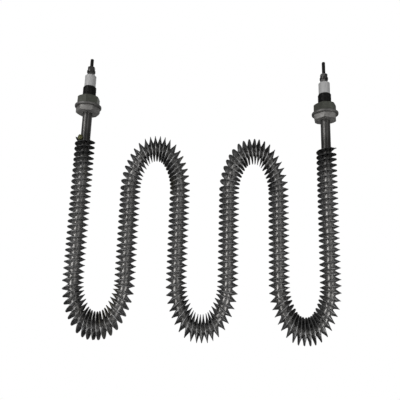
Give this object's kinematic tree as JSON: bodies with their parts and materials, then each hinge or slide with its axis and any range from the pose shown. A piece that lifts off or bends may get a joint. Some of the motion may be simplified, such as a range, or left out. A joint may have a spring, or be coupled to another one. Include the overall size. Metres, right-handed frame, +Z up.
{
  "type": "tubular heating element",
  "caption": "Serpentine air heater: a sheathed element with a steel fin wound along it and a threaded fitting, ceramic bush and stud at each end.",
  "frame": {"origin": "midway between the two threaded fittings, on the plane of their hex shoulders, where they clamp a duct panel", "axes": "+X from the left fitting to the right one, +Y to the back, +Z up along the terminals"},
  "size_m": [0.283, 0.028, 0.3014],
  "materials": {
    "sheath_steel": "satin drawn steel tube, mid grey with soft lengthwise highlights",
    "fin_steel": "dark blued steel strip with a crimped foot and brighter edges",
    "resistance_wire": "wound resistance wire",
    "magnesia": "compacted magnesium oxide powder",
    "fitting_steel": "turned steel, mid grey head and darkened thread",
    "washer_steel": "stamped steel washer, mid grey",
    "nut_steel": "greenish dark grey plated steel",
    "ceramic": "pale unglazed ceramic",
    "seal_resin": "sealing resin",
    "stud_steel": "dark steel threaded stud",
    "terminal_steel": "dark steel terminal hardware"
  },
  "bodies": {
    "root": {"sheath_tube": "sheath_steel", "fin_strip": "fin_steel", "heating_coil": "resistance_wire", "magnesia_filling": "magnesia", "left_threaded_bushing": "fitting_steel", "left_panel_washer": "washer_steel", "left_panel_nut": "nut_steel", "left_ceramic_bush": "ceramic", "left_end_seal": "seal_resin", "left_terminal_stud": "stud_steel", "left_lower_terminal_nut": "terminal_steel", "left_lower_terminal_washer": "terminal_steel", "left_upper_terminal_washer": "terminal_steel", "left_spring_washer": "terminal_steel", "left_upper_terminal_nut": "terminal_steel", "right_threaded_bushing": "fitting_steel", "right_panel_washer": "washer_steel", "right_panel_nut": "nut_steel", "right_ceramic_bush": "ceramic", "right_end_seal": "seal_resin", "right_terminal_stud": "stud_steel", "right_lower_terminal_nut": "terminal_steel", "right_lower_terminal_washer": "terminal_steel", "right_upper_terminal_washer": "terminal_steel", "right_spring_washer": "terminal_steel", "right_upper_terminal_nut": "terminal_steel"}
  },
  "joints": []
}
